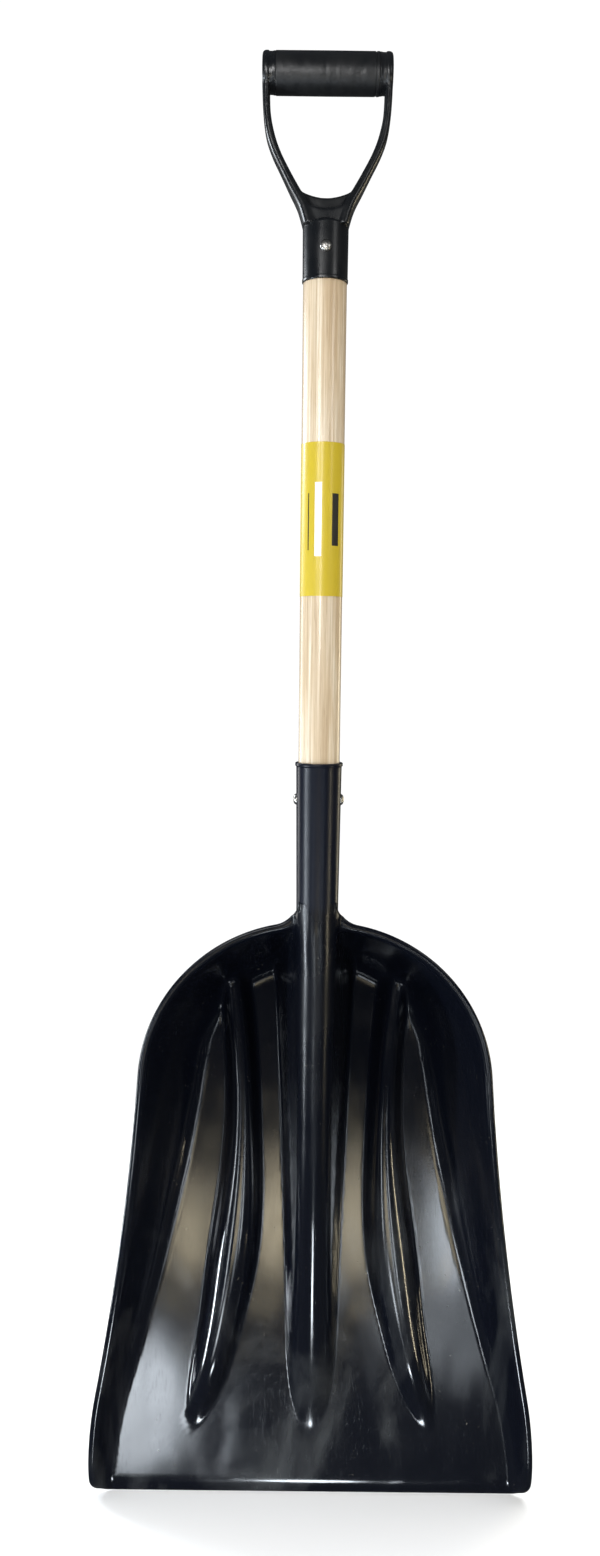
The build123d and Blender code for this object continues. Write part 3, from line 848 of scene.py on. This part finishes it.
def rivet(name, replaced, half_length, z, to_point):
    """A rivet: a domed head at both ends with a small upright edge, and a shank between them."""
    head, thickness, shank = 4.8, 3.0, 2.5
    crown_radius, brow_radius, brow_drop, edge_height = 1.6, 3.9, 0.9, 0.7
    seat = half_length - thickness
    half = [(0, half_length, 0), (crown_radius, half_length, 2.4)]
    half += [(brow_radius, half_length - brow_drop, 2.0), (head, seat + edge_height, 0.6)]
    half += [(head, seat, 0.2), (shank, seat, 0)]
    below = [(radius, -along, bend) for radius, along, bend in reversed(half)]
    path = rounded(half + below)
    points, faces = revolved(path, 48, to_point)
    return piece(name, np.array(points) + (0, 0, z), faces, STEEL, replaced, "steel")


def rivets():
    """One rivet through the ferrule from front to back, and one through the socket from side to side."""
    yoke_z = (yoke_rivet_low[2] + yoke_rivet_high[2]) / 2
    socket_z = (socket_rivet_low[2] + socket_rivet_high[2]) / 2
    rivet("handle_rivet", "yoke_rivet", yoke_rivet_high[1], yoke_z, round_y)
    rivet("blade_rivet", "socket_rivet", socket_rivet_high[0], socket_z, round_x)


# ---- handle ---------------------------------------------------------------------------------
# Heights from the eye down to the ferrule, each with the arm's middle, half width and half depth there.
ARM = [
    (9.0, 49.5, 3.1, 13.0),
    (-12.0, 49.5, 3.1, 12.5),
    (-33.0, 48.5, 3.1, 11.5),
    (-50.0, 45.5, 3.7, 10.8),
    (-64.0, 40.4, 3.9, 10.5),
    (-79.0, 32.7, 4.1, 11.0),
    (-92.0, 25.7, 4.6, 12.5),
    (-106.0, 18.0, 5.2, 15.0),
    (-121.0, 13.6, 5.0, 16.6),
]
ARM_FOOT_Z = ARM[-1][0]
ARM_ROWS = 70
ARM_AROUND = 36
# Powers below 1 square off the arm's section, less across the handle and more from front to back.
ARM_POWER_ACROSS = 0.7
ARM_POWER_FORE = 0.55
EYE_INNER = 46.6
COLLAR_OUTER = 48.0


def through(knots, share):
    """A smooth curve through all knots, at a share between 0 at the first and 1 at the last."""
    knots = np.array(knots, float)
    place = share * (len(knots) - 1)
    index = min(int(place), len(knots) - 2)
    t = place - index
    a, b = knots[max(index - 1, 0)], knots[index]
    c, d = knots[index + 1], knots[min(index + 2, len(knots) - 1)]
    return 0.5 * (2 * b + (c - a) * t + (2 * a - 5 * b + 4 * c - d) * t**2 + (3 * b - a - 3 * c + d) * t**3)


def arm_solid(side):
    """One arm as level sections: a rectangle with well-rounded corners, swept down the curve."""
    points = []
    for row in range(ARM_ROWS + 1):
        z, middle, width, depth = through(ARM, row / ARM_ROWS)
        for step in range(ARM_AROUND):
            angle = 2 * pi * step / ARM_AROUND
            across, fore = cos(angle), sin(angle)
            x = middle + width * np.sign(across) * abs(across) ** ARM_POWER_ACROSS
            points.append((side * x, depth * np.sign(fore) * abs(fore) ** ARM_POWER_FORE, z))
    faces = tube_faces(ARM_ROWS + 1, ARM_AROUND)
    faces.append(tuple(range(ARM_AROUND)))
    faces.append(tuple(ARM_ROWS * ARM_AROUND + step for step in reversed(range(ARM_AROUND))))
    return points, faces


def web_solid(half_width, top, rise, foot_half_width, depth):
    """The saddle between the arms: a plate with a hollow top edge."""
    steps, points = 16, []
    for y in (-depth, depth):
        for step in range(steps + 1):
            x = half_width * (2 * step / steps - 1)
            points.append((x, y, top + rise * (x / half_width) ** 2))
        points.append((foot_half_width, y, ARM_FOOT_Z))
        points.append((-foot_half_width, y, ARM_FOOT_Z))
    count = steps + 3
    faces = [tuple(range(count)), tuple(count + i for i in reversed(range(count)))]
    for i in range(count):
        ahead = (i + 1) % count
        faces.append((ahead, i, count + i, count + ahead))
    return points, faces


def eye_solid(side):
    """The round end of an arm, outside the sleeve."""
    inner, outer = side * EYE_INNER, side * HANDLE_HALF_WIDTH
    corners = [(0, inner, 0), (GRIP_RADIUS, inner, 0.6), (GRIP_RADIUS, outer, 3.0), (0, outer, 0)]
    return revolved(rounded(corners, steps=8), 96, round_x)


def joined(solids):
    """The points and faces of several solids as one list each."""
    points, faces = [], []
    for some_points, some_faces in solids:
        start = len(points)
        points += [tuple(p) for p in some_points]
        faces += [tuple(index + start for index in face) for face in some_faces]
    return points, faces


YOKE_VOXEL = 0.65 * MM
YOKE_SMOOTHING = 26


def handle_frame():
    """Arms, eyes and saddle, melted into one moulding with soft inside corners."""
    solids = [arm_solid(1), arm_solid(-1), eye_solid(1), eye_solid(-1)]
    solids.append(web_solid(half_width=22.0, top=-98.5, rise=6.0, foot_half_width=15.0, depth=6.5))
    solids.append(web_solid(half_width=17.0, top=-109.0, rise=4.5, foot_half_width=16.5, depth=14.5))
    obj = piece("handle_frame", *joined(solids), HANDLE, "handle_yoke", "handle")
    melt = obj.modifiers.new("melt", "REMESH")
    melt.mode, melt.voxel_size, melt.use_smooth_shade = "VOXEL", YOKE_VOXEL, True
    soften = obj.modifiers.new("soften", "SMOOTH")
    soften.factor, soften.iterations = 0.5, YOKE_SMOOTHING
    return obj


def handle_ferrule():
    """The tube below the saddle that holds the shaft's tenon, with a small bead at its foot."""
    bottom = FERRULE_BOTTOM
    path = rounded(
        [
            (0, TENON_TOP, 0),
            (TENON_RADIUS, TENON_TOP, 0),
            (TENON_RADIUS, bottom, 0.3),
            (FERRULE_RADIUS, bottom, 0.8),
            (FERRULE_RADIUS, bottom + 2.4, 0.4),
            (FERRULE_RADIUS - 0.35, bottom + 3.0, 0.4),
            (FERRULE_RADIUS - 0.1, FERRULE_TOP, 2.2),
            (FERRULE_RADIUS - 4.5, FERRULE_TOP + 2.5, 2.0),
            (0, FERRULE_TOP + 3.5, 0),
        ]
    )
    points, faces = revolved(path, 96, round_z)
    return piece("handle_ferrule", points, faces, HANDLE, "handle_yoke", "handle")


def collar(side):
    """The moulded collar between the sleeve's end and an arm."""
    inner, radius = SLEEVE_HALF_LENGTH, GRIP_RADIUS - 0.3
    path = rounded(
        [
            (0, side * inner, 0),
            (radius, side * inner, 0.5),
            (radius - 0.5, side * (inner + 2.5), 0.8),
            (radius - 0.5, side * COLLAR_OUTER, 0),
            (0, side * COLLAR_OUTER, 0),
        ]
    )
    points, faces = revolved(path, 96, round_x)
    name = "collar_right" if side > 0 else "collar_left"
    return piece(name, points, faces, HANDLE, "handle_yoke", "handle")


def sleeve():
    """The hand's sleeve, a tube with softened ends and a shallow groove near its right end."""
    bore = rod_high[1] + 0.05
    end = SLEEVE_HALF_LENGTH
    outside = GRIP_RADIUS - 0.15
    groove_floor = outside - 0.5
    path = rounded(
        [
            (bore, -end, 0),
            (outside, -end, 0.7),
            (outside + 0.1, 0, 20),
            (outside, end - 3.6, 0.2),
            (groove_floor, end - 3.3, 0.2),
            (groove_floor, end - 2.7, 0.2),
            (outside, end - 2.4, 0.2),
            (outside, end, 0.7),
            (bore, end, 0),
            (bore, -end, 0),
        ]
    )
    points, faces = revolved(path, 128, round_x)
    return piece("sleeve", points, faces, SLEEVE, "grip_sleeve", "sleeve")


blade_scoop()
blade_socket()
wooden_shaft()
label()
rivets()
handle_frame()
handle_ferrule()
collar(-1)
collar(1)
sleeve()

# The rod inside the sleeve keeps the frame's own solid, in steel.
grip_rod = bpy.context.scene.objects["grip_rod"]
grip_rod.data.materials.clear()
grip_rod.data.materials.append(STEEL)


# ---- floor, light and camera ----------------------------------------------------------------
def studio_floor():
    """A plain pale disc of floor just under the lip. It doesn't show in the plastic and casts no shadow."""
    radius, behind, gap = 0.85, 0.25, 0.5 * MM
    shade, light = (0.86, 0.86, 0.86), (0.88, 0.88, 0.88)
    made, shader = material("studio_floor", Specular_IOR_Level=0.1, Roughness=0.8)
    into(made, mix(made, noise(made, (3, 3, 3)), shade, light), shader, "Base Color")
    bpy.ops.mesh.primitive_circle_add(radius=radius, vertices=96, fill_type="NGON")
    floor = bpy.context.object
    floor.name = "studio_floor"
    floor.location = (0, behind, LIP_Z * MM - gap)
    floor.data.materials.append(made)
    floor.visible_glossy = False
    floor.visible_shadow = False


def softbox(name, place, target, width, height, power, colour=(1, 1, 1), shape="RECTANGLE"):
    """A soft light aimed at a point and unseen by the camera. Sizes and places are in metres."""
    lamp = bpy.data.lights.new(name, "AREA")
    lamp.shape, lamp.size, lamp.size_y = shape, width, height
    lamp.energy, lamp.color = power, colour
    obj = bpy.data.objects.new(name, lamp)
    obj.location = place
    obj.rotation_euler = (Vector(target) - Vector(place)).to_track_quat("-Z", "Y").to_euler()
    obj.visible_camera = False
    bpy.context.scene.collection.objects.link(obj)
    return obj


def studio_world():
    """A white backdrop for the camera, and a dim even fill for the light."""
    backdrop, fill_light = 1.05, 0.06
    white, sky = (1, 1, 1, 1), (0.85, 0.93, 1.0, 1)
    world = bpy.data.worlds.new("studio_world")
    bpy.context.scene.world = world
    world.use_nodes = True
    nodes, links = world.node_tree.nodes, world.node_tree.links
    nodes.clear()
    seen = nodes.new("ShaderNodeBackground")
    seen.inputs["Color"].default_value = white
    seen.inputs["Strength"].default_value = backdrop
    fill = nodes.new("ShaderNodeBackground")
    fill.inputs["Color"].default_value = sky
    fill.inputs["Strength"].default_value = fill_light
    path, choose = nodes.new("ShaderNodeLightPath"), nodes.new("ShaderNodeMixShader")
    out = nodes.new("ShaderNodeOutputWorld")
    links.new(path.outputs["Is Camera Ray"], choose.inputs[0])
    links.new(fill.outputs[0], choose.inputs[1])
    links.new(seen.outputs[0], choose.inputs[2])
    links.new(choose.outputs[0], out.inputs["Surface"])


def camera():
    """In front of the shovel, looking slightly down at its middle, and rolled a little."""
    lens, sensor = 30.07712, 36.0
    down, roll = radians(5.5), radians(0.64)
    distance, aim_z, side = 1.105, -0.5718, -0.016
    data = bpy.data.cameras.new("camera")
    data.sensor_width = sensor
    data.lens = lens
    obj = bpy.data.objects.new("camera", data)
    bpy.context.scene.collection.objects.link(obj)
    place = Matrix.Translation((side, -distance * cos(down), aim_z + distance * sin(down)))
    obj.matrix_world = place @ Matrix.Rotation(pi / 2 - down, 4, "X") @ Matrix.Rotation(roll, 4, "Z")
    bpy.context.scene.camera = obj


def studio_lights():
    """Large lights for the wood and the floor, and small dim cards that the black plastic mirrors."""
    # Each has a name, a place, a target, a width, a height and watts, and some a colour and a shape.
    cool, warm = (0.84, 0.92, 1.0), (1.0, 0.88, 0.62)
    softbox("key", (-0.75, -1.75, 0.05), (0, 0, -0.3), 0.40, 0.6, 11)
    softbox("shaft_card", (-0.14, -1.4, -0.2), (0, 0, -0.3), 0.26, 0.5, 6)
    softbox("fill", (1.4, -1.3, 0.2), (0, 0, -0.4), 0.4, 0.7, 4)
    overhead = softbox("overhead", (0, 0.5, 1.5), (0, 0.5, -1.2), 3.4, 3.4, 140)
    overhead.visible_glossy = False
    softbox("cloud_card", (-0.36, -1.6, -1.50), (-0.14, 0, -1.15), 0.26, 0.26, 2.6, cool, "ELLIPSE")
    softbox("middle_card", (-0.04, -1.6, -1.17), (0, 0, -1.0), 0.55, 0.24, 0.7, warm, "ELLIPSE")
    softbox("right_card", (0.30, -1.6, -1.33), (0.1, 0, -1.1), 0.30, 0.22, 0.5, cool, "ELLIPSE")
    softbox("crest_card", (0.01, -0.95, -1.72), (0, 0, -1.05), 0.16, 0.16, 2.6, cool, "ELLIPSE")
    softbox("left_glow", (-0.06, -1.6, -1.12), (-0.03, 0, -0.97), 0.06, 0.28, 0.42, warm, "ELLIPSE")
    softbox("right_glow", (0.11, -1.6, -1.12), (0.04, 0, -0.97), 0.06, 0.28, 0.42, warm, "ELLIPSE")
    softbox("edge_glow", (-0.24, -1.6, -1.16), (-0.1, 0, -1.0), 0.05, 0.24, 0.25, warm, "ELLIPSE")
    softbox("edge_glint", (0.31, -1.6, -1.15), (0.12, 0, -0.98), 0.05, 0.24, 0.7, cool, "ELLIPSE")
    softbox("left_card", (-0.72, -1.45, -1.15), (0, 0, -1.0), 0.08, 0.36, 1.6, cool)
    softbox("right_glint", (0.62, -1.45, -1.15), (0, 0, -1.0), 0.08, 0.36, 1.6, cool)
    softbox("left_strip", (-1.5, -0.55, -1.15), (0, 0, -1.05), 0.07, 0.8, 24, cool)
    softbox("right_strip", (1.5, -0.75, -1.1), (0, 0, -1.05), 0.05, 0.8, 6.0, warm)
    softbox("rim_card", (-1.25, -0.85, -0.92), (0, 0, -0.8), 0.10, 0.36, 3.5, cool)
    softbox("rim_light", (-1.25, 0.62, 0.0), (-0.1, 0, -0.74), 0.3, 0.3, 8, cool)
    softbox("back_left", (-1.6, 1.2, -0.4), (0, 0, -0.8), 0.5, 1.6, 12)
    softbox("back_right", (1.6, 1.3, -0.6), (0, 0, -0.8), 0.35, 1.2, 8, warm)


studio_floor()
studio_world()
studio_lights()
camera()
bpy.context.scene.view_settings.view_transform = "Standard"
